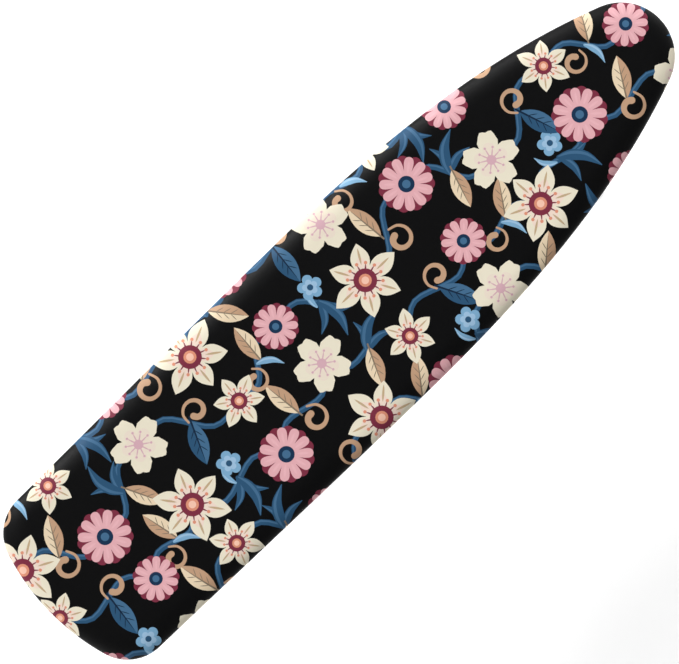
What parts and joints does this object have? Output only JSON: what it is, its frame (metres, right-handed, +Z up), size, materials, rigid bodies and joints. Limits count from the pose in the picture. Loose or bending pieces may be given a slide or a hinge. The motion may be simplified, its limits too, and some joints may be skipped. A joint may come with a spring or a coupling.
{
  "type": "ironing board",
  "caption": "Full-size folding ironing board with a tapered padded top in a printed cotton cover, on a height-adjustable steel scissor stand.",
  "frame": {"origin": "on the floor below the middle of the board, at the bottom centre of the bounding box", "axes": "+X along the board towards its nose, +Y across the board, +Z up"},
  "size_m": [1.372, 0.342, 0.914],
  "materials": {
    "printed_cotton": "matte",
    "elastic": "matte",
    "foam": "matte",
    "mesh": "satin",
    "frame_steel": "satin",
    "zinc_steel": "satin",
    "fastener_steel": "satin",
    "leg_paint": "satin",
    "black_plastic": "matte",
    "white_plastic": "matte"
  },
  "bodies": {
    "board": {"cover": "printed_cotton", "cover_elastic": "elastic", "foam_pad": "foam", "mesh_top": "mesh", "rim_tube": "frame_steel", "cross_brace_1": "frame_steel", "cross_brace_2": "frame_steel", "cross_brace_3": "frame_steel", "cross_brace_4": "frame_steel", "cross_brace_5": "frame_steel", "track_left": "zinc_steel", "track_right": "zinc_steel", "track_rivets": "fastener_steel", "pivot_bracket_left": "zinc_steel", "pivot_bracket_right": "zinc_steel", "bracket_rivets": "fastener_steel", "pivot_pin_left": "fastener_steel", "pivot_pin_right": "fastener_steel", "pivot_washers": "white_plastic", "latch_pin": "fastener_steel", "latch_spring": "fastener_steel"},
    "latch": {"latch_bar": "zinc_steel", "latch_grip": "black_plastic"},
    "outer_leg": {"outer_tube_left": "leg_paint", "outer_tube_right": "leg_paint", "outer_head_left": "leg_paint", "outer_head_right": "leg_paint", "outer_foot_bar": "leg_paint", "outer_foot_cap_left": "black_plastic", "outer_foot_cap_right": "black_plastic", "scissor_pin": "fastener_steel", "scissor_spacers": "white_plastic", "scissor_cap_nuts": "fastener_steel"},
    "inner_leg": {"inner_tube": "leg_paint", "inner_head": "leg_paint", "slider_bar": "fastener_steel", "slider_clips": "fastener_steel", "scissor_bush": "white_plastic", "inner_foot_bar": "leg_paint", "inner_foot_cap_left": "black_plastic", "inner_foot_cap_right": "black_plastic"}
  },
  "joints": [
    {"name": "fold", "type": "hinge", "parent": "board", "child": "outer_leg", "pos_m": [0.42, 0, 0.866], "axis": [0, 1, 0], "range_deg": [0, 46.15]},
    {"name": "scissor", "type": "hinge", "parent": "outer_leg", "child": "inner_leg", "pos_m": [0.07363, 0, 0.50541], "axis": [0, 1, 0], "range_deg": [-92.32, 0]},
    {"name": "latch_squeeze", "type": "hinge", "parent": "board", "child": "latch", "pos_m": [0, 0, 0.888], "axis": [0, 1, 0], "range_deg": [-0.95, 0]}
  ],
  "couplings": [
    {"joint": "scissor", "follows": "fold", "ratio": -2}
  ]
}
